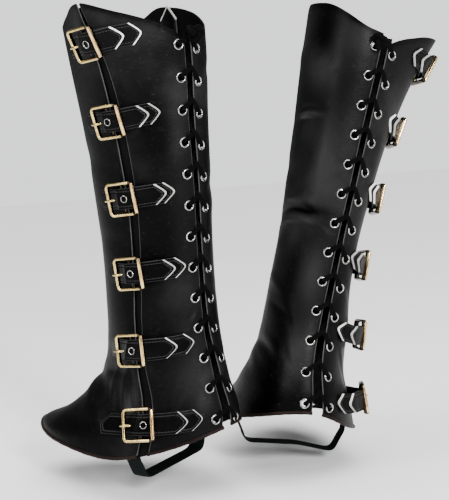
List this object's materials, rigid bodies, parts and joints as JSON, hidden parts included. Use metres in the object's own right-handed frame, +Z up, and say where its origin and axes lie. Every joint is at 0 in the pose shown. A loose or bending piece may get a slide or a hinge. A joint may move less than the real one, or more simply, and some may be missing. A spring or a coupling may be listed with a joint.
{
  "type": "pair of half chaps",
  "caption": "Worn pair of black leather half chaps, laced at the back, with wire-frame buckle straps down the outer side and a stirrup strap under each arch.",
  "frame": {"origin": "between the two legs at mid calf, where the wearer holds the pair up, 252 mm above the ground that the boots stand on", "axes": "+Z up, +Y the way the wearer faces, +X to the wearer's right"},
  "size_m": [0.4005, 0.2938, 0.4766],
  "materials": {
    "black_leather": "smooth, soft sheen",
    "strap_leather": "satin",
    "dark_brown_binding": "satin",
    "black_lace": "matt woven",
    "pale_brass": "polished"
  },
  "bodies": {
    "root": {"left_buckle_1": "pale_brass", "left_buckle_2": "pale_brass", "left_buckle_3": "pale_brass", "left_buckle_4": "pale_brass", "left_buckle_5": "pale_brass", "left_buckle_6": "pale_brass", "left_buckle_strap_1": "strap_leather", "left_buckle_strap_2": "strap_leather", "left_buckle_strap_3": "strap_leather", "left_buckle_strap_4": "strap_leather", "left_buckle_strap_5": "strap_leather", "left_buckle_strap_6": "strap_leather", "left_lace": "black_lace", "left_lace_knot": "black_lace", "left_outer_binding": "dark_brown_binding", "left_outer_panel": "black_leather", "left_pull_tab": "strap_leather", "left_slit_underlap": "black_leather", "left_stirrup": "strap_leather", "left_tip_strap_1": "strap_leather", "left_tip_strap_2": "strap_leather", "left_tip_strap_3": "strap_leather", "left_tip_strap_4": "strap_leather", "left_tip_strap_5": "strap_leather", "left_tip_strap_6": "strap_leather", "left_wrap_binding": "dark_brown_binding", "left_wrap_panel": "black_leather", "right_buckle_1": "pale_brass", "right_buckle_2": "pale_brass", "right_buckle_3": "pale_brass", "right_buckle_4": "pale_brass", "right_buckle_5": "pale_brass", "right_buckle_6": "pale_brass", "right_buckle_strap_1": "strap_leather", "right_buckle_strap_2": "strap_leather", "right_buckle_strap_3": "strap_leather", "right_buckle_strap_4": "strap_leather", "right_buckle_strap_5": "strap_leather", "right_buckle_strap_6": "strap_leather", "right_lace": "black_lace", "right_lace_knot": "black_lace", "right_outer_binding": "dark_brown_binding", "right_outer_panel": "black_leather", "right_pull_tab": "strap_leather", "right_slit_underlap": "black_leather", "right_stirrup": "strap_leather", "right_tip_strap_1": "strap_leather", "right_tip_strap_2": "strap_leather", "right_tip_strap_3": "strap_leather", "right_tip_strap_4": "strap_leather", "right_tip_strap_5": "strap_leather", "right_tip_strap_6": "strap_leather", "right_wrap_binding": "dark_brown_binding", "right_wrap_panel": "black_leather"}
  },
  "joints": []
}
